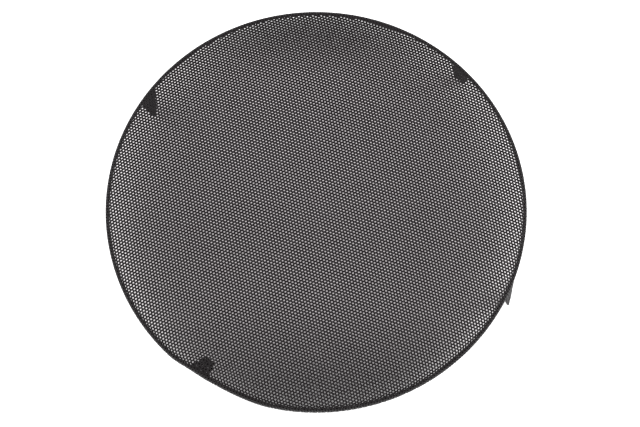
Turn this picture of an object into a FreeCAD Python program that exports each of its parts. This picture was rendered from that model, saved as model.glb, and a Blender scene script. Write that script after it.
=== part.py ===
"""Round perforated-steel speaker grille with four bend tabs.

Millimetres. +Z points out of the listening side, along the axis of the disc.
The origin is the centre of the skirt's lower edge, the plane that sits on the
panel. +Y is the back, +X the right-hand side.

The real grille is one stamped sheet. Its zones are kept as separate solids: the
domed face, the rolled rim with its short skirt, and the four tabs, each of which
bends about a line along the skirt's lower edge. The rim has one short flat beside
the front-left tab. The hole pattern is left out of these solids, which are the
plain sheet that the holes are punched through.
"""
import FreeCAD, Part
import math
import os

V = FreeCAD.Vector
CLOSE = 1e-3              # two heights or lengths closer than this are the same

# ---- driving dimensions -------------------------------------------------------
SHEET = 0.8               # thickness of the steel
OUTER_R = 89.0            # outside of the skirt
CROWN_R = 1055.0          # outer surface of the nearly flat middle
CROWN_EDGE_R = 57.0       # where the crown hands over to the shoulder
SHOULDER_R = 257.0        # outer surface of the steeper ring round the crown
BEND_R = 3.0              # outside radius of the rolled edge
SKIRT_STRAIGHT = 1.75     # upright wall under the rolled edge

TAB_ROOT = 9.2            # width at the bend line
TAB_TIP = 5.3             # width at the free end
TAB_LENGTH = 10.0         # bend line to free end
TAB_CORNER_R = 0.6        # rounding of the free corners
TAB_PLAIN = 1.5           # length next to the bend line that stays flat
HINGE_GAP = 0.05          # between the skirt's edge and the root of a tab

# name: (direction from the centre, inward bend away from straight down,
#        sideways shift of the tip in mm, twist of the tip about the tab's length,
#        how far its root is pushed in with the rim in mm)
TABS = {
    "tab_back_right": (45.0, 0.5, 0.1, 0.0, 0.0),
    "tab_back_left": (145.2, 28.0, 1.7, -36.0, 0.0),
    "tab_front_left": (236.0, 60.0, -0.2, 0.0, 1.05),
    "tab_front_right": (335.6, -8.0, -0.6, -10.0, 0.0),
}

# the rim runs straight for a short way beside the front-left tab
FLAT_DIRECTION = 240.0    # middle of the flat, from the centre
FLAT_DEPTH = 1.15         # how far the outside is pushed in there
FLAT_STRETCH = 30.0       # degrees of the rim that the flat lies within

# ---- worked out from them -----------------------------------------------------
CROWN_SLOPE = math.asin(CROWN_EDGE_R / CROWN_R)
SHOULDER_X = (CROWN_R - SHOULDER_R) * math.sin(CROWN_SLOPE)
BEND_X = OUTER_R - BEND_R
RIM_SLOPE = math.asin((BEND_X - SHOULDER_X) / (SHOULDER_R - BEND_R))
BEND_Z = SKIRT_STRAIGHT
SHOULDER_Z = BEND_Z - (SHOULDER_R - BEND_R) * math.cos(RIM_SLOPE)
CROWN_Z = SHOULDER_Z - (CROWN_R - SHOULDER_R) * math.cos(CROWN_SLOPE)

TAB_HINGE_R = math.sqrt(OUTER_R ** 2 - (TAB_ROOT / 2) ** 2) - SHEET / 2
TAB_HINGE_Z = -(SHEET / 2 + HINGE_GAP)


def on_arc(centre_x, centre_z, radius, slope):
    """Point of a profile arc where the surface has fallen to this slope."""
    return V(centre_x + radius * math.sin(slope), 0, centre_z + radius * math.cos(slope))


def arc_edge(centre_x, centre_z, radius, slope_a, slope_b):
    ends = [on_arc(centre_x, centre_z, radius, s) for s in (slope_a, slope_b)]
    middle = on_arc(centre_x, centre_z, radius, (slope_a + slope_b) / 2)
    return Part.Arc(ends[0], middle, ends[1]).toShape()


def line_edge(start, end):
    return Part.makeLine(start, end)


def revolved(edges, start=0, sweep=360):
    """Turn about Z, from one direction on, of the closed profile of these edges."""
    turned = Part.Face(Part.Wire(edges)).revolve(V(0, 0, 0), V(0, 0, 1), sweep)
    turned.rotate(V(0, 0, 0), V(0, 0, 1), start)
    return turned


def perforated_face():
    """Crown and shoulder: two tangent arcs, one sheet thick."""
    inner_crown = CROWN_R - SHEET
    inner_shoulder = SHOULDER_R - SHEET
    outer_end = on_arc(SHOULDER_X, SHOULDER_Z, SHOULDER_R, RIM_SLOPE)
    inner_end = on_arc(SHOULDER_X, SHOULDER_Z, inner_shoulder, RIM_SLOPE)
    return revolved([
        arc_edge(0, CROWN_Z, CROWN_R, 0, CROWN_SLOPE),
        arc_edge(SHOULDER_X, SHOULDER_Z, SHOULDER_R, CROWN_SLOPE, RIM_SLOPE),
        line_edge(outer_end, inner_end),
        arc_edge(SHOULDER_X, SHOULDER_Z, inner_shoulder, RIM_SLOPE, CROWN_SLOPE),
        arc_edge(0, CROWN_Z, inner_crown, CROWN_SLOPE, 0),
        line_edge(V(0, 0, CROWN_Z + inner_crown), V(0, 0, CROWN_Z + CROWN_R)),
    ])


def pressed_flat(stretch, space_below):
    """Stretch of the rim whose wall runs straight across where the flat cuts the circle.

    space_below is the space below the stretch's outer surface, which gives the
    straight wall its height and its ends.
    """
    flat_x = OUTER_R - FLAT_DEPTH
    height = BEND_Z + BEND_R
    outside = Part.makeBox(FLAT_DEPTH, OUTER_R, height, V(flat_x, -OUTER_R / 2, 0))
    wall = Part.makeBox(SHEET, OUTER_R, height, V(flat_x - SHEET, -OUTER_R / 2, 0))
    for box in (outside, wall):
        box.rotate(V(0, 0, 0), V(0, 0, 1), FLAT_DIRECTION)
    return stretch.cut(outside).fuse(space_below.common(wall))


def rolled_rim():
    """Edge rolled down through the rest of a quarter turn into a short skirt."""
    upright = math.radians(90)
    inner_bend = BEND_R - SHEET
    inner_r = OUTER_R - SHEET
    outer_start = on_arc(BEND_X, BEND_Z, BEND_R, RIM_SLOPE)
    inner_start = on_arc(BEND_X, BEND_Z, inner_bend, RIM_SLOPE)
    foot = V(outer_start.x, 0, 0)
    outer_edges = [
        arc_edge(BEND_X, BEND_Z, BEND_R, RIM_SLOPE, upright),
        line_edge(V(OUTER_R, 0, BEND_Z), V(OUTER_R, 0, 0)),
    ]
    sheet_edges = outer_edges + [
        line_edge(V(OUTER_R, 0, 0), V(inner_r, 0, 0)),
        line_edge(V(inner_r, 0, 0), V(inner_r, 0, BEND_Z)),
        arc_edge(BEND_X, BEND_Z, inner_bend, upright, RIM_SLOPE),
        line_edge(inner_start, outer_start),
    ]
    filled_edges = outer_edges + [
        line_edge(V(OUTER_R, 0, 0), foot),
        line_edge(foot, outer_start),
    ]
    flat_start = FLAT_DIRECTION - FLAT_STRETCH / 2
    stretch = revolved(sheet_edges, flat_start, FLAT_STRETCH)
    space_below = revolved(filled_edges, flat_start, FLAT_STRETCH)
    rest = revolved(sheet_edges, flat_start + FLAT_STRETCH, 360 - FLAT_STRETCH)
    return rest.fuse(pressed_flat(stretch, space_below))


def tab_section(down, lean, twist):
    """Cross-section of a tab this far below its bend line, as a closed wire."""
    share = down / TAB_LENGTH
    turned = max(0.0, down - TAB_PLAIN) / (TAB_LENGTH - TAB_PLAIN)
    half_width = (TAB_ROOT + (TAB_TIP - TAB_ROOT) * share) / 2
    half = SHEET / 2
    corners = [
        V(-half, -half_width, 0),
        V(-half, half_width, 0),
        V(half, half_width, 0),
        V(half, -half_width, 0),
    ]
    wire = Part.makePolygon(corners + corners[:1])
    wire.rotate(V(0, 0, 0), V(0, 0, -1), twist * turned)
    wire.translate(V(0, lean * share, -down))
    return wire


def straight_tab(lean, twist):
    """Tab hanging straight down from a bend line along Y through the origin.

    The root is a half-round edge about the bend line, so it turns in place
    without reaching the skirt above it. A hand-bent tab leans to one side and
    winds about its own length below its root.
    """
    half = SHEET / 2
    sections = [tab_section(down, lean, twist) for down in (0.0, TAB_PLAIN, TAB_LENGTH)]
    upper = Part.makeLoft(sections[:2], True, True)
    lower = Part.makeLoft(sections[1:], True, True)
    tip_corners = [
        e for e in lower.Edges
        if all(abs(v.Z + TAB_LENGTH) < CLOSE for v in e.Vertexes)
        and abs(e.Length - SHEET) < CLOSE
    ]
    lower = lower.makeFillet(TAB_CORNER_R, tip_corners)
    root = Part.makeCylinder(half, TAB_ROOT, V(0, -TAB_ROOT / 2, 0), V(0, 1, 0))
    return upper.fuse([lower, root]).removeSplitter()


def bend_tab(direction, bend, lean, twist, pushed_in):
    """Tab bent inward about its root and set on the skirt at this direction."""
    tab = straight_tab(lean, twist)
    tab.rotate(V(0, 0, 0), V(0, 1, 0), bend)
    tab.translate(V(TAB_HINGE_R - pushed_in, 0, TAB_HINGE_Z))
    tab.rotate(V(0, 0, 0), V(0, 0, 1), direction)
    return tab


def main():
    os.makedirs("parts", exist_ok=True)
    nodes = {"perforated_face": perforated_face(), "rolled_rim": rolled_rim()}
    for name, placing in TABS.items():
        nodes[name] = bend_tab(*placing)
    for name, shape in nodes.items():
        solid = shape.Solids[0]
        box = solid.BoundBox
        print(name, "solids", len(shape.Solids), "valid", solid.isValid(),
              "volume %.1f" % solid.Volume,
              "x %.2f %.2f y %.2f %.2f z %.2f %.2f"
              % (box.XMin, box.XMax, box.YMin, box.YMax, box.ZMin, box.ZMax))
        solid.exportStep("parts/" + name + ".step")
    print("rim slope %.2f deg, hinge radius %.3f, apex z %.3f"
          % (math.degrees(RIM_SLOPE), TAB_HINGE_R, CROWN_Z + CROWN_R))


main()
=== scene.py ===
"""Perforated steel speaker grille: the sheet with its holes, and a plain studio round it.

The sheet is laid out flat as a staggered hole pattern, cut to a disc with four tabs,
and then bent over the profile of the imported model. Lengths are in millimetres until
a mesh is made; Blender works in metres.
"""
import math

import bpy
import numpy as np
from mathutils import Matrix, Vector, geometry


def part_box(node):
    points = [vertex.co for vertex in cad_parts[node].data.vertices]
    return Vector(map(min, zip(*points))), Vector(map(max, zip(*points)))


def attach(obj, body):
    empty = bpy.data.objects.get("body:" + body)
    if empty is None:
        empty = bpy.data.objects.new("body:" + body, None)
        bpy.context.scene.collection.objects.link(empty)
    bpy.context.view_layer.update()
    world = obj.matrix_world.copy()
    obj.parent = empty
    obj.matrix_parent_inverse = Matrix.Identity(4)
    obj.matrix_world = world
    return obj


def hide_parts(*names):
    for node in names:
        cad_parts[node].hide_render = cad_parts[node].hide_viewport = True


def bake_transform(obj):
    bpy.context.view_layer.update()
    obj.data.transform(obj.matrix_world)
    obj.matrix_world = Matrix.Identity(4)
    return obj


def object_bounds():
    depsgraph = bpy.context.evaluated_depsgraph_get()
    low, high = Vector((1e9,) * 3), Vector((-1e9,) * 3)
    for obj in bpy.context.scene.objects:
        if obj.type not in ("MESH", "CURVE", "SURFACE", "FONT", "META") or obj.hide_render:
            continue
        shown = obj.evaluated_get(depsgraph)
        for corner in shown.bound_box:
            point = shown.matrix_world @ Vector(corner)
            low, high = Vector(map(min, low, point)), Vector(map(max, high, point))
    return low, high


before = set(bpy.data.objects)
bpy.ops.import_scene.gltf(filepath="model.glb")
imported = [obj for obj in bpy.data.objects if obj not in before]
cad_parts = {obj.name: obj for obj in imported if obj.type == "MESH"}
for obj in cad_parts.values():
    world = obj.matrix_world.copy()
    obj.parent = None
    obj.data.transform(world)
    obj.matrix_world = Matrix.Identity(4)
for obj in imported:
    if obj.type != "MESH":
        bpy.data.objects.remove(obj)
CAD_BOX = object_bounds()
FLOOR_GAP = 0.00005       # between the longest tab and the floor, in metres
floor_z = CAD_BOX[0][2] - FLOOR_GAP
MM = 0.001

# ---- the sheet -----------------------------------------------------------------
SHEET = 0.8               # thickness of the steel
PITCH = 1.4002            # hole to hole
HOLE_R = 0.42
ROLLOVER = 0.05           # bevel of a hole's upper edge, away from the sheet's edge
CROWN_R = 1055.0
CROWN_EDGE_R = 57.0
SHOULDER_R = 257.0
BEND_R = 3.0
SKIRT_STRAIGHT = 1.75
OUTER_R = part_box("rolled_rim")[1][0] / MM
PATTERN_TURN = math.radians(-19.64)   # direction of one row of holes
PATTERN_SHIFT = (-0.10, 0.33)         # nearest hole to the middle, in pitches
PULL = 0.0034                         # share by which the pattern is longer one way
PULL_TURN = math.radians(107.8)       # direction of that way; across it is as much shorter

CROWN_SLOPE = math.asin(CROWN_EDGE_R / CROWN_R)
SHOULDER_X = (CROWN_R - SHOULDER_R) * math.sin(CROWN_SLOPE)
BEND_X = OUTER_R - BEND_R
RIM_SLOPE = math.asin((BEND_X - SHOULDER_X) / (SHOULDER_R - BEND_R))
SHOULDER_Z = SKIRT_STRAIGHT - (SHOULDER_R - BEND_R) * math.cos(RIM_SLOPE)
CROWN_Z = SHOULDER_Z - (CROWN_R - SHOULDER_R) * math.cos(CROWN_SLOPE)
UPRIGHT = math.pi / 2

# lengths along the outer surface where one arc hands over to the next
S_CROWN = CROWN_R * CROWN_SLOPE
S_SHOULDER = S_CROWN + SHOULDER_R * (RIM_SLOPE - CROWN_SLOPE)
S_BEND = S_SHOULDER + BEND_R * (UPRIGHT - RIM_SLOPE)
S_END = S_BEND + SKIRT_STRAIGHT
FACE_MARGIN = 0.7                     # the pieces of the face stop so far inside the shoulder's end
S_FACE = S_SHOULDER - FACE_MARGIN

# ---- the tabs: direction and inward bend in degrees, sideways shift of the tip in
# millimetres, twist of the tip about the tab's length in degrees, and how far the
# root is pushed in with the rim in millimetres
TABS = {
    "tab_back_right": (45.0, 0.5, 0.1, 0.0, 0.0),
    "tab_back_left": (145.2, 28.0, 1.7, -36.0, 0.0),
    "tab_front_left": (236.0, 60.0, -0.2, 0.0, 1.05),
    "tab_front_right": (335.6, -8.0, -0.6, -10.0, 0.0),
}
TAB_ROOT = 9.2
TAB_TIP = 5.3
TAB_LENGTH = 10.0
TAB_CORNER_R = 0.6
TAB_PLAIN = 1.5           # length next to the bend line that isn't twisted
CORNER_POINTS = 7         # on the rounding of each free corner
HINGE_DROP = 0.45         # bend line below the skirt's edge
FOLD_R = 0.8              # largest radius of the folded sheet's middle
FOLD_CLEAR = 0.01         # least length between the skirt's edge and the fold
SETTLE = 1.5              # length over which a tab's curved root turns flat
SAME_SIDE = 0.95          # a tab's points lie within this cosine of its direction
HINGE_R = math.sqrt(OUTER_R ** 2 - (TAB_ROOT / 2) ** 2) - SHEET / 2

# the rim stands further in for a short way round the front-left tab
DENT_DEPTH = 1.13
DENT_RISE = (226.5, 235.5)            # directions between which it deepens
DENT_FALL = (241.0, 258.5)            # and between which it runs out
DENT_START = 76.0                     # length from the middle where it begins

TINY = 1e-9


def smooth(t):
    """Ease from 0 to 1 as t does."""
    t = np.clip(t, 0.0, 1.0)
    return t * t * (3.0 - 2.0 * t)


def profile(s):
    """Radius, height and slope of the outer surface at length s from the middle."""
    crown = s / CROWN_R
    shoulder = CROWN_SLOPE + (s - S_CROWN) / SHOULDER_R
    bend = RIM_SLOPE + (s - S_SHOULDER) / BEND_R
    zones = [s < S_CROWN, s < S_SHOULDER, s < S_BEND]
    slope = np.select(zones, [crown, shoulder, bend], UPRIGHT)
    r = np.select(zones, [CROWN_R * np.sin(slope),
                          SHOULDER_X + SHOULDER_R * np.sin(slope),
                          BEND_X + BEND_R * np.sin(slope)], OUTER_R)
    z = np.select(zones, [CROWN_Z + CROWN_R * np.cos(slope),
                          SHOULDER_Z + SHOULDER_R * np.cos(slope),
                          SKIRT_STRAIGHT + BEND_R * np.cos(slope)],
                  SKIRT_STRAIGHT - (s - S_BEND))
    return r, z, slope


def pushed_in(uv):
    """How far the rim stands inside its circle in the direction of these points."""
    a = np.mod(np.degrees(np.arctan2(uv[:, 1], uv[:, 0])), 360)
    rise = smooth((a - DENT_RISE[0]) / (DENT_RISE[1] - DENT_RISE[0]))
    fall = smooth((a - DENT_FALL[0]) / (DENT_FALL[1] - DENT_FALL[0]))
    return DENT_DEPTH * (rise - fall)


class Tab:
    """One bend tab, in the flat sheet and folded."""

    def __init__(self, name, direction, bend, lean, twist, root_in):
        self.name = name
        a = math.radians(direction)
        self.bend = math.radians(bend)
        self.lean = lean
        self.twist = math.radians(twist)
        self.out = np.array([math.cos(a), math.sin(a), 0.0])
        self.side = np.array([-math.sin(a), math.cos(a), 0.0])
        self.hinge_r = HINGE_R - root_in
        self.hinge = self.out * self.hinge_r + np.array([0.0, 0.0, -HINGE_DROP])
        self.sign = math.copysign(1.0, self.bend)
        turn = abs(self.bend)
        self.radius = min(FOLD_R, (HINGE_DROP - FOLD_CLEAR) / math.tan(turn / 2))
        self.tangent = self.radius * math.tan(turn / 2)
        self.fold_start = HINGE_DROP - self.tangent
        self.fold_end = self.fold_start + self.radius * turn
        self.tip = self.fold_end + TAB_LENGTH - self.tangent
        self.outline = self.flat_outline()

    def local(self, uv):
        """Flat point as (distance past the skirt's edge, distance across)."""
        x = uv @ self.out[:2]
        y = uv @ self.side[:2]
        return x - np.sqrt(np.maximum(S_END ** 2 - y ** 2, 0.0)), y * OUTER_R / S_END

    def flat(self, d, y):
        """Flat point this far past the skirt's edge and this far across."""
        y = np.asarray(y) * S_END / OUTER_R
        x = np.asarray(d) + np.sqrt(S_END ** 2 - y ** 2)
        return np.outer(x, self.out[:2]) + np.outer(y, self.side[:2])

    def flat_outline(self):
        """Open outline of the tab, anticlockwise, from just inside the skirt."""
        root, tip, r = TAB_ROOT / 2, TAB_TIP / 2, TAB_CORNER_R
        taper = math.atan2(root - tip, TAB_LENGTH)
        corner_y = tip - r * (1 - math.sin(taper)) / math.cos(taper)
        angles = np.linspace(UPRIGHT - taper, 0.0, CORNER_POINTS)
        ds = np.concatenate([[0.0, self.tip - TAB_LENGTH], self.tip - r + r * np.cos(angles)])
        ys = np.concatenate([[root, root], corner_y + r * np.sin(angles)])
        return self.flat(np.concatenate([ds, ds[::-1]]), np.concatenate([-ys, ys[::-1]]))

    def place(self, uv, depth):
        """Folded position of flat points past the skirt's edge."""
        d, y = self.local(uv)
        d = np.maximum(d, 0.0)
        settle = smooth(d / SETTLE)
        alpha = np.arcsin(np.clip(y / OUTER_R, -1, 1))
        skirt_in = SHEET / 2 + pushed_in(uv)
        bow = (OUTER_R - skirt_in) * np.cos(alpha) - self.hinge_r
        turn = np.clip((d - self.fold_start) / self.radius, 0.0, abs(self.bend))
        past = np.maximum(d - self.fold_end, 0.0)
        q = -self.sign * self.radius * (1 - np.cos(turn)) - math.sin(self.bend) * past
        z = (-np.minimum(d, self.fold_start) - self.radius * np.sin(turn)
             - math.cos(self.bend) * past)
        gamma = self.sign * turn
        outward = (np.cos(gamma)[:, None] * self.out
                   - np.sin(gamma)[:, None] * np.array([0.0, 0.0, 1.0]))
        down = d - self.fold_start
        length = self.tip - self.fold_start
        slide = self.lean * np.clip(down / length, 0.0, 1.0)
        wind = self.twist * np.clip((down - TAB_PLAIN) / (length - TAB_PLAIN), 0.0, 1.0)
        across = np.cos(wind)[:, None] * self.side + np.sin(wind)[:, None] * outward
        # the root still follows the skirt's curve, the rest of the tab is flat
        tilt = alpha * (1 - settle) - wind
        normal = np.cos(tilt)[:, None] * outward + np.sin(tilt)[:, None] * self.side
        y = y - skirt_in * np.sin(alpha * (1 - settle))
        reach_out = self.hinge_r + q + bow * (1 - settle)
        middle = (np.outer(reach_out, self.out) + np.outer(slide, self.side)
                  + y[:, None] * across + np.outer(z, [0.0, 0.0, 1.0]))
        return middle + normal * (SHEET / 2 - depth)[:, None]


tabs = [Tab(name, *values) for name, values in TABS.items()]


def inside_convex(points, ring):
    """Which points lie inside an anticlockwise convex outline."""
    inside = np.ones(len(points), bool)
    for a, b in zip(ring, np.roll(ring, -1, 0)):
        edge = b - a
        inside &= edge[0] * (points[:, 1] - a[1]) - edge[1] * (points[:, 0] - a[0]) > -TINY
    return inside


def inside_sheet(points):
    """Which points of the flat layout lie on the disc or on a tab."""
    inside = np.hypot(points[:, 0], points[:, 1]) <= S_END
    for tab in tabs:
        inside |= inside_convex(points, tab.outline)
    return inside


def sheet_to_space(uv, depth):
    """Where a point of the flat sheet, so far under its outer surface, ends up."""
    s = np.hypot(uv[:, 0], uv[:, 1])
    r, z, slope = profile(s)
    flat = np.maximum(s, TINY)
    dent = pushed_in(uv) * smooth((s - DENT_START) / (S_SHOULDER - DENT_START))
    r = r - depth * np.sin(slope) - dent
    z = z - depth * np.cos(slope)
    xyz = np.column_stack([r * uv[:, 0] / flat, r * uv[:, 1] / flat, z])
    past = s > S_END
    for tab in tabs:
        mine = past & (uv @ tab.out[:2] > SAME_SIDE * s)
        if mine.any():
            xyz[mine] = tab.place(uv[mine], depth[mine])
    return xyz


# ---- the hole pattern ------------------------------------------------------------
# it is laid out as an exact lattice, and on_sheet gives where its points are on the sheet
def direction(angle):
    """Unit vector at this angle."""
    return np.array([math.cos(angle), math.sin(angle)])


# longer along PULL_TURN and shorter across it, as a symmetric matrix
pull = np.eye(2) + PULL * np.column_stack(
    [direction(2 * PULL_TURN), direction(2 * PULL_TURN - UPRIGHT)])


def on_sheet(points):
    """Points of the lattice, as points of the flat sheet."""
    return points @ pull.T


def on_lattice(points):
    """Points of the flat sheet, as points of the lattice."""
    return points @ np.linalg.inv(pull).T


row_a = PITCH * direction(PATTERN_TURN)
row_b = PITCH * direction(PATTERN_TURN - math.radians(60))
shift = (PATTERN_SHIFT[0] * row_a
         + PATTERN_SHIFT[1] * PITCH * direction(PATTERN_TURN - UPRIGHT))
SLANT = 1.2               # more steps are needed, since the rows cross at 60 degrees
reach = int((S_END + TAB_LENGTH) / PITCH * SLANT)
steps_each_way = np.arange(-reach, reach + 1)
ij = np.stack(np.meshgrid(steps_each_way, steps_each_way), -1).reshape(-1, 2)
centres = shift + ij[:, :1] * row_a + ij[:, 1:] * row_b
near = np.hypot(centres[:, 0], centres[:, 1]) < S_END + TAB_LENGTH + 2 * PITCH
centres = centres[near]

# each hole is a polygon of this many sides in the middle of a six-sided cell
SIDES = 12
spokes = PATTERN_TURN + math.radians(30) + np.arange(SIDES) * 2 * math.pi / SIDES
unit_circle = np.column_stack([np.cos(spokes), np.sin(spokes)])
unit_hex = unit_circle[::2] * PITCH / math.sqrt(3)
hex_middles = (unit_hex + np.roll(unit_hex, -1, 0)) / 2
probe = np.concatenate([unit_hex, hex_middles])
inside_count = np.zeros(len(centres), int)
for offset in probe:
    inside_count += inside_sheet(on_sheet(centres + offset))


TAB_MARGIN = 0.82         # cells this near a tab belong to its piece


def tab_of(points):
    """Index of the tab that each cell belongs to, or -1."""
    which = np.full(len(points), -1)
    for k, tab in enumerate(tabs):
        d, y = tab.local(points)
        ahead = points @ tab.out[:2] > 0
        which[ahead & (d > -TAB_MARGIN) & (np.abs(y) < TAB_ROOT / 2 + TAB_MARGIN)] = k
    return which


centre_s = np.hypot(*on_sheet(centres).T)
centre_tab = tab_of(on_sheet(centres))
touched = inside_count > 0
whole = (inside_count == len(probe)) & (centre_tab < 0)
cut = touched & ~whole

FACE_SECTORS = 8
RIM_SECTORS = 4
azimuth = np.mod(np.arctan2(centres[:, 1], centres[:, 0]), 2 * math.pi)
face_sector = (azimuth / (2 * math.pi / FACE_SECTORS)).astype(int)
rim_sector = (azimuth / (2 * math.pi / RIM_SECTORS)).astype(int)
TAB_BASE = FACE_SECTORS + RIM_SECTORS
piece_of = np.where(centre_s < S_FACE, face_sector, FACE_SECTORS + rim_sector)
piece_of = np.where(centre_tab >= 0, TAB_BASE + centre_tab, piece_of)


# ---- cells that the sheet's edge or a fold cuts ------------------------------------
OUTLINE_STEP = 0.35       # longest step along the disc's edge
FOLD_STEP = 0.14          # between the lines that let a tab's fold bend
FOLD_LINES_BEYOND = 3     # such lines before and after the fold
FOLD_LINE_POINTS = 12
FOLD_LINE_OVERHANG = 0.2  # how far they reach past the tab's sides
CORNER_DIGITS = 3         # cell corners that round to the same place are one
CENTRE_DIGITS = 2         # and so are cell centres
SAME_POINT = 1e-5         # points closer than this are one
LEAST_AREA = 1e-7         # triangles smaller than this are dropped
FAR = 1e9


def outline_ring():
    """The whole sheet's outline, anticlockwise."""
    ring = []
    order = sorted(tabs, key=lambda t: math.atan2(t.out[1], t.out[0]) % (2 * math.pi))
    for k, tab in enumerate(order):
        ring.extend(tab.outline)
        last = tab.outline[-1]
        nxt = order[(k + 1) % len(order)].outline[0]
        a = math.atan2(last[1], last[0])
        b = math.atan2(nxt[1], nxt[0])
        span = (b - a) % (2 * math.pi)
        steps = max(2, int(span * S_END / OUTLINE_STEP))
        for m in range(1, steps):
            ring.append(S_END * direction(a + span * m / steps))
    return np.array(ring)


def cut_cells():
    """Triangles of every cut cell: flat points, triangles, and the cell of each."""
    cells = np.flatnonzero(cut)
    points, edges = [], []

    def add_loop(loop, closed=True):
        base = len(points)
        points.extend(loop)
        n = len(loop)
        edges.extend((base + k, base + (k + 1) % n) for k in range(n if closed else n - 1))

    seen = {}
    for c in centres[cells]:
        corner_ids = []
        for corner in c + unit_hex:
            key = (round(corner[0], CORNER_DIGITS), round(corner[1], CORNER_DIGITS))
            if key not in seen:
                seen[key] = len(points)
                points.append(corner)
            corner_ids.append(seen[key])
        edges.extend((corner_ids[k], corner_ids[(k + 1) % 6]) for k in range(6))
        add_loop(c + unit_circle * HOLE_R)
    add_loop(on_lattice(outline_ring()))
    fold_line_end = TAB_ROOT / 2 + FOLD_LINE_OVERHANG
    ys = np.linspace(-fold_line_end, fold_line_end, FOLD_LINE_POINTS)
    for tab in tabs:
        d = tab.fold_start - FOLD_LINES_BEYOND * FOLD_STEP
        while d < tab.fold_end + FOLD_LINES_BEYOND * FOLD_STEP:
            add_loop(on_lattice(tab.flat(np.full(FOLD_LINE_POINTS, d), ys)), closed=False)
            d += FOLD_STEP
    verts, _, tris, _, _, _ = geometry.delaunay_2d_cdt(
        [Vector(p) for p in points], edges, [], 0, SAME_POINT)
    verts = np.array([v[:] for v in verts])
    tris = np.array([t[:] for t in tris if len(t) == 3])
    mid = verts[tris].mean(1)
    inverse = np.linalg.inv(np.column_stack([row_a, row_b]))
    keep = inside_sheet(on_sheet(mid))
    tris, mid = tris[keep], mid[keep]
    # nearest hole, by trying the lattice points round each middle
    guess = np.floor((mid - shift) @ inverse.T)
    best = np.full(len(mid), FAR)
    owner = np.zeros((len(mid), 2))
    for di in (0, 1):
        for dj in (0, 1):
            trial = guess + [di, dj]
            where = shift + trial[:, :1] * row_a + trial[:, 1:] * row_b
            dist = np.hypot(*(mid - where).T)
            better = dist < best
            best[better] = dist[better]
            owner[better] = where[better]
    rel = mid - owner
    half_side = math.pi / SIDES
    side_normals = np.column_stack([np.cos(spokes + half_side), np.sin(spokes + half_side)])
    in_hole = (rel @ side_normals.T).max(1) < HOLE_R * math.cos(half_side)

    def centre_key(point):
        return round(point[0], CENTRE_DIGITS), round(point[1], CENTRE_DIGITS)

    lookup = {centre_key(c): i for i, c in zip(cells, centres[cells])}
    cell = np.array([lookup.get(centre_key(o), -1) for o in owner])
    keep = ~in_hole & (cell >= 0)
    a, b, c = (verts[tris[:, k]] for k in range(3))
    area = ((b - a)[:, 0] * (c - a)[:, 1] - (b - a)[:, 1] * (c - a)[:, 0]) / 2
    keep &= np.abs(area) > LEAST_AREA
    tris[area < 0] = tris[area < 0][:, ::-1]
    return verts, tris[keep], cell[keep]


cut_verts, cut_tris, cut_owner = cut_cells()


# ---- meshes ------------------------------------------------------------------------
SHARP = math.radians(35)  # edges that turn more than this stay crisp
WEAR_ROLLOVER = 0.35      # how far the coat is worn: round a hole,
WEAR_HOLE = 1.0           # inside it,
WEAR_CUT = 0.8            # and on the sheet's cut edge
KEYS_PER_MM = 1000        # corners that share a rounded place are one vertex
KEY_ROW = 4_000_000       # more than the keys across the sheet


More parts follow.
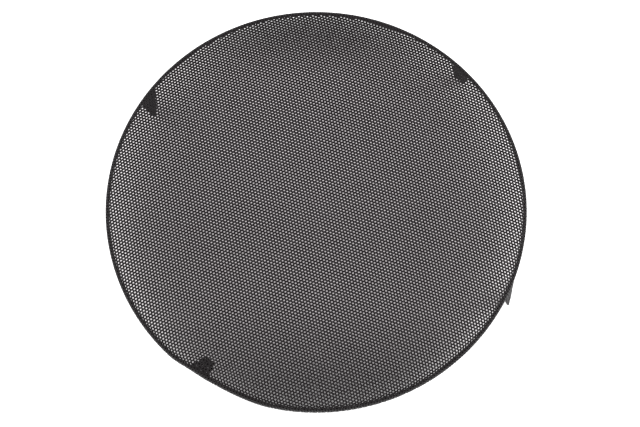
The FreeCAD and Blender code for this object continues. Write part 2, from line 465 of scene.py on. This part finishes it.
def make_piece(index, name):
    """One piece of the sheet: its cells with their holes, closed all round."""
    full = np.flatnonzero(whole & (piece_of == index))
    mine = piece_of[cut_owner] == index
    tri = cut_tris[mine]
    n = len(full)
    corners = (centres[full][:, None] + unit_hex).reshape(-1, 2)
    pool = np.concatenate([corners, cut_verts[tri].reshape(-1, 2)])
    key = np.round(pool * KEYS_PER_MM).astype(np.int64)
    _, first, back = np.unique(
        key[:, 0] * KEY_ROW + key[:, 1], return_index=True, return_inverse=True)
    shared = pool[first]
    m = len(shared)
    hexes = back[:n * 6].reshape(n, 6)
    cut_index = back[n * 6:].reshape(-1, 3)
    cut_index = cut_index[(cut_index != np.roll(cut_index, -1, 1)).all(1)]

    ring = centres[full][:, None] + unit_circle * (HOLE_R + ROLLOVER)
    hole = centres[full][:, None] + unit_circle * HOLE_R
    ring, hole = ring.reshape(-1, 2), hole.reshape(-1, 2)
    uv = np.concatenate([shared, shared, ring, hole, hole])
    count = n * SIDES
    depth = np.concatenate([np.zeros(m), np.full(m, SHEET), np.zeros(count),
                            np.full(count, ROLLOVER), np.full(count, SHEET)])
    edge = np.concatenate([np.zeros(2 * m), np.full(count, WEAR_ROLLOVER),
                           np.full(2 * count, WEAR_HOLE)])
    top_ring = (2 * m + np.arange(count)).reshape(n, SIDES)
    top_hole = top_ring + count
    low_hole = top_hole + count

    tri_parts = [cut_index, cut_index[:, ::-1] + m]
    for k in range(6):
        h0, h1 = hexes[:, k], hexes[:, (k + 1) % 6]
        for up, ring_ids in ((True, top_ring), (False, low_hole)):
            c0, c1, c2 = (ring_ids[:, (2 * k + t) % SIDES] for t in range(3))
            lift = 0 if up else m
            corner, next_corner = h0 + lift, h1 + lift
            for triangle in ((corner, next_corner, c1), (corner, c1, c0), (next_corner, c2, c1)):
                t = np.column_stack(triangle)
                tri_parts.append(t if up else t[:, ::-1])
    quad_parts = []
    for k in range(SIDES):
        nx = (k + 1) % SIDES
        hole_here, hole_next = top_hole[:, k], top_hole[:, nx]
        quad_parts.append(np.column_stack([top_ring[:, k], top_ring[:, nx], hole_next, hole_here]))
        quad_parts.append(np.column_stack([low_hole[:, nx], low_hole[:, k], hole_here, hole_next]))
    # walls wherever an edge of the flat layout has no neighbour
    a = np.concatenate([hexes.ravel(), cut_index.ravel()])
    b = np.concatenate([np.roll(hexes, -1, 1).ravel(), np.roll(cut_index, -1, 1).ravel()])
    forward = a * np.int64(m) + b
    backward = b * np.int64(m) + a
    open_edge = ~np.isin(forward, backward)
    a, b = a[open_edge], b[open_edge]
    quad_parts.append(np.column_stack([a + m, b + m, b, a]))
    edge[a] = edge[b] = edge[a + m] = edge[b + m] = WEAR_CUT

    tris = np.concatenate(tri_parts)
    quads = np.concatenate(quad_parts)
    uv = on_sheet(uv)
    xyz = sheet_to_space(uv, depth) * MM
    mesh = bpy.data.meshes.new(name)
    mesh.vertices.add(len(xyz))
    mesh.vertices.foreach_set("co", xyz.astype(np.float32).ravel())
    loops = np.concatenate([tris.ravel(), quads.ravel()]).astype(np.int32)
    mesh.loops.add(len(loops))
    mesh.loops.foreach_set("vertex_index", loops)
    starts = np.concatenate([np.arange(len(tris)) * 3, len(tris) * 3 + np.arange(len(quads)) * 4])
    mesh.polygons.add(len(starts))
    mesh.polygons.foreach_set("loop_start", starts.astype(np.int32))
    mesh.update(calc_edges=True)
    flat_mm = mesh.attributes.new("flat_mm", "FLOAT_VECTOR", "POINT")
    flat_mm.data.foreach_set("vector", np.column_stack([uv, depth]).astype(np.float32).ravel())
    hole_edge = mesh.attributes.new("hole_edge", "FLOAT", "POINT")
    hole_edge.data.foreach_set("value", edge.astype(np.float32))
    mesh.shade_smooth()
    mesh.set_sharp_from_angle(angle=SHARP)
    mesh.materials.append(steel)
    obj = bpy.data.objects.new(name, mesh)
    bpy.context.scene.collection.objects.link(obj)
    print(name, "cells", n, "faces", len(starts), "triangles", len(tris) + 2 * len(quads))
    return obj


# ---- materials -----------------------------------------------------------------------
COAT_DARK = (0.0095, 0.0080, 0.0086)
COAT_LIGHT = (0.0130, 0.0111, 0.0119)
COAT_WORN = (0.024, 0.0205, 0.022, 1.0)
COAT_ROUGHNESS = (0.44, 0.58)
COAT_SPECULAR = 0.1
NOISE_ENDS = (0.3, 0.7)               # the noise values that the two ends of a range stand for
CLOUD = (0.05, 4.0, 0.55)             # noise scale per millimetre, detail and roughness
SPECK = (2.6, 3.0, 0.6)
GRAIN = (5.0, 4.0, 0.6)
GRAIN_STRENGTH = 0.15
GRAIN_HEIGHT = 0.00004                # in metres
MIX_FACTOR, MIX_A, MIX_B, MIX_COLOUR = 0, 6, 7, 2   # sockets of a colour mix


def coated_steel():
    """Black coat: cloudy tone, fine grain, and lighter where it is worn at the holes."""
    mat = bpy.data.materials.new("coated_steel")
    mat.use_nodes = True
    nt = mat.node_tree
    nodes, link = nt.nodes, nt.links.new
    shader = nodes["Principled BSDF"]

    def attribute(name):
        node = nodes.new("ShaderNodeAttribute")
        node.attribute_name = name
        return node

    def noise(scale, detail, rough):
        node = nodes.new("ShaderNodeTexNoise")
        node.inputs["Scale"].default_value = scale
        node.inputs["Detail"].default_value = detail
        node.inputs["Roughness"].default_value = rough
        link(flat.outputs["Vector"], node.inputs["Vector"])
        return node

    def ramp(source, low, high):
        node = nodes.new("ShaderNodeValToRGB")
        link(source, node.inputs["Fac"])
        for element, place, colour in zip(node.color_ramp.elements, NOISE_ENDS, (low, high)):
            element.position = place
            element.color = (*colour, 1.0)
        return node

    flat = attribute("flat_mm")
    edge = attribute("hole_edge")
    cloud = noise(*CLOUD)
    tone = ramp(cloud.outputs["Fac"], COAT_DARK, COAT_LIGHT)
    speck = noise(*SPECK)
    worn = nodes.new("ShaderNodeMath")
    worn.operation = "MULTIPLY"
    link(edge.outputs["Fac"], worn.inputs[0])
    link(speck.outputs["Fac"], worn.inputs[1])
    mix = nodes.new("ShaderNodeMix")
    mix.data_type = "RGBA"
    link(worn.outputs[0], mix.inputs[MIX_FACTOR])
    link(tone.outputs["Color"], mix.inputs[MIX_A])
    mix.inputs[MIX_B].default_value = COAT_WORN
    link(mix.outputs[MIX_COLOUR], shader.inputs["Base Color"])
    rough = ramp(speck.outputs["Fac"], *((value,) * 3 for value in COAT_ROUGHNESS))
    link(rough.outputs["Color"], shader.inputs["Roughness"])
    grain = noise(*GRAIN)
    bump = nodes.new("ShaderNodeBump")
    bump.inputs["Strength"].default_value = GRAIN_STRENGTH
    bump.inputs["Distance"].default_value = GRAIN_HEIGHT
    link(grain.outputs["Fac"], bump.inputs["Height"])
    link(bump.outputs["Normal"], shader.inputs["Normal"])
    shader.inputs["Specular IOR Level"].default_value = COAT_SPECULAR
    return mat


# the floor glows, painting light and shade: strongly round the grille where its shadow would fall,
# less under it and least at the front as a painted shadow, and a little more under the grille's
# left and right as painted light; places are in metres
GLOW_ROUND = 0.9
GLOW_UNDER = [(-0.093, 0.0), (-0.070, 0.14), (-0.045, 0.36), (0.0, 0.48),
              (0.045, 0.61), (0.072, 0.61), (0.091, 0.0)]
GLOW_SIDES = [(0.045, 0.086, 0.22), (-0.055, -0.086, 0.12)]   # where the painted light grows, and by how much
GLOW_TINT = (1.04, 0.98, 1.0)
GLOW_SPAN = 0.1                       # the places in GLOW_UNDER lie within this of the middle
SHADE_CENTRE_Y = 0.0037               # middle of the floor that the grille covers, and of the painted shadow there
# the painted shadow under the grille gives way to the bright glow between these radii
SHADE_R = (0.0880, 0.0892)
FLOOR_COLOUR = (0.9, 0.9, 0.9, 1.0)
FLOOR_ROUGHNESS = 0.9
FLOOR_SPECULAR = 0.1


def floor_material():
    """Pale matt floor whose glow, painted light and shade, depends on the place."""
    mat = bpy.data.materials.new("floor")
    mat.use_nodes = True
    nodes, link = mat.node_tree.nodes, mat.node_tree.links.new
    shader = nodes["Principled BSDF"]
    shader.inputs["Base Color"].default_value = FLOOR_COLOUR
    shader.inputs["Roughness"].default_value = FLOOR_ROUGHNESS
    shader.inputs["Specular IOR Level"].default_value = FLOOR_SPECULAR
    place = nodes.new("ShaderNodeNewGeometry")
    split = nodes.new("ShaderNodeSeparateXYZ")
    link(place.outputs["Position"], split.inputs[0])
    span = nodes.new("ShaderNodeMapRange")
    span.inputs["From Min"].default_value = -GLOW_SPAN
    span.inputs["From Max"].default_value = GLOW_SPAN
    link(split.outputs["Y"], span.inputs["Value"])
    ramp = nodes.new("ShaderNodeValToRGB")
    ramp.color_ramp.interpolation = "CARDINAL"
    link(span.outputs["Result"], ramp.inputs["Fac"])
    while len(ramp.color_ramp.elements) < len(GLOW_UNDER):
        ramp.color_ramp.elements.new(0.5)
    for element, (y, strength) in zip(ramp.color_ramp.elements, GLOW_UNDER):
        element.position = (y + GLOW_SPAN) / (2 * GLOW_SPAN)
        element.color = (*(strength * tint for tint in GLOW_TINT), 1.0)
    gain = None
    for start, end, more in GLOW_SIDES:
        side = nodes.new("ShaderNodeMapRange")
        side.inputs["From Min"].default_value = start
        side.inputs["From Max"].default_value = end
        side.inputs["To Max"].default_value = more
        link(split.outputs["X"], side.inputs["Value"])
        total = nodes.new("ShaderNodeMath")
        total.inputs[1].default_value = 1.0
        link(side.outputs["Result"], total.inputs[0])
        if gain:
            link(gain, total.inputs[1])
        gain = total.outputs[0]
    under = nodes.new("ShaderNodeVectorMath")
    under.operation = "SCALE"
    link(ramp.outputs["Color"], under.inputs[0])
    link(gain, under.inputs["Scale"])
    from_middle = nodes.new("ShaderNodeVectorMath")
    from_middle.operation = "DISTANCE"
    link(place.outputs["Position"], from_middle.inputs[0])
    from_middle.inputs[1].default_value = (0.0, SHADE_CENTRE_Y, floor_z)
    shade = nodes.new("ShaderNodeMapRange")
    shade.interpolation_type = "SMOOTHSTEP"
    shade.inputs["From Min"].default_value = SHADE_R[0]
    shade.inputs["From Max"].default_value = SHADE_R[1]
    link(from_middle.outputs["Value"], shade.inputs["Value"])
    # painted shadow under the grille, painted light round it
    mix = nodes.new("ShaderNodeMix")
    mix.data_type = "RGBA"
    link(shade.outputs["Result"], mix.inputs[MIX_FACTOR])
    link(under.outputs[0], mix.inputs[MIX_A])
    mix.inputs[MIX_B].default_value = (GLOW_ROUND, GLOW_ROUND, GLOW_ROUND, 1.0)
    link(mix.outputs[MIX_COLOUR], shader.inputs["Emission Color"])
    shader.inputs["Emission Strength"].default_value = 1.0
    return mat


steel = coated_steel()

# ---- the pieces ------------------------------------------------------------------------
for k in range(FACE_SECTORS):
    piece = make_piece(k, "face_mesh_%d" % (k + 1))
    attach(piece, "grille")
    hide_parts("perforated_face")
for k in range(RIM_SECTORS):
    piece = make_piece(FACE_SECTORS + k, "rim_mesh_%d" % (k + 1))
    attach(piece, "grille")
    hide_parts("rolled_rim")
for k, tab in enumerate(tabs):
    piece = make_piece(TAB_BASE + k, tab.name + "_mesh")
    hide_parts(tab.name)
    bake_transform(piece)

# ---- floor -------------------------------------------------------------------------------
FLOOR_HALF = 3.0
floor_mesh = bpy.data.meshes.new("floor")
floor_corners = [(x * FLOOR_HALF, y * FLOOR_HALF, floor_z)
                 for x, y in ((-1, -1), (1, -1), (1, 1), (-1, 1))]
floor_mesh.from_pydata(floor_corners, [], [(0, 1, 2, 3)])
floor_mesh.materials.append(floor_material())
floor = bpy.data.objects.new("floor", floor_mesh)
bpy.context.scene.collection.objects.link(floor)


# ---- lights --------------------------------------------------------------------------------
LIGHT_DISTANCE = 1.2
LIGHTS = [   # name, direction and height in degrees, size in metres, power
    ("key_right", 14, 33, (0.7, 0.6), 7.0),
    ("key_left", 158, 33, (0.7, 0.6), 5.0),
    ("fill_right", 0, 54, (0.6, 0.6), 3.5),
    ("fill_left", 180, 54, (0.6, 0.6), 3.5),
]
WORLD_STRENGTH = 0.7


def softbox(name, place, size, power):
    """Rectangular lamp that faces the middle of the grille."""
    data = bpy.data.lights.new(name, "AREA")
    data.shape = "RECTANGLE"
    data.size, data.size_y = size
    data.energy = power
    obj = bpy.data.objects.new(name, data)
    obj.location = place
    obj.rotation_euler = (-Vector(place)).to_track_quat("-Z", "Y").to_euler()
    bpy.context.scene.collection.objects.link(obj)


def towards(azimuth, elevation, distance):
    """Place at this direction, height and distance from the origin."""
    a, e = math.radians(azimuth), math.radians(elevation)
    level = distance * math.cos(e)
    return (level * math.cos(a), level * math.sin(a), distance * math.sin(e))


for name, azimuth_deg, elevation_deg, size, power in LIGHTS:
    softbox(name, towards(azimuth_deg, elevation_deg, LIGHT_DISTANCE), size, power)

world = bpy.data.worlds.new("studio")
world.use_nodes = True
background = world.node_tree.nodes["Background"]
background.inputs["Color"].default_value = (1.0, 1.0, 1.0, 1.0)
background.inputs["Strength"].default_value = WORLD_STRENGTH
bpy.context.scene.world = world
bpy.context.scene.view_settings.view_transform = "Standard"

# ---- camera ----------------------------------------------------------------------------------
LENS = 118.92
SENSOR = 36.0
DISTANCE = 0.8858                     # straight back from the middle of the grille's top,
SPOT_RIGHT = 0.0016                   # then this far to the picture's right,
SPOT_DOWN = 0.00572                   # and this far to its foot, all in metres
ELEVATION = math.radians(71.54)
apex = Vector((0.0, 0.0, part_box("perforated_face")[1][2]))
back = Vector((0.0, -math.cos(ELEVATION), math.sin(ELEVATION)))
up = Vector((0.0, math.sin(ELEVATION), math.cos(ELEVATION)))
right = Vector((1.0, 0.0, 0.0))
camera_data = bpy.data.cameras.new("camera")
camera_data.lens = LENS
camera_data.sensor_width = SENSOR
camera = bpy.data.objects.new("camera", camera_data)
spot = apex + back * DISTANCE + right * SPOT_RIGHT - up * SPOT_DOWN
turn = Matrix((right, up, back)).transposed().to_4x4()
camera.matrix_world = Matrix.Translation(spot) @ turn
bpy.context.scene.collection.objects.link(camera)
bpy.context.scene.camera = camera
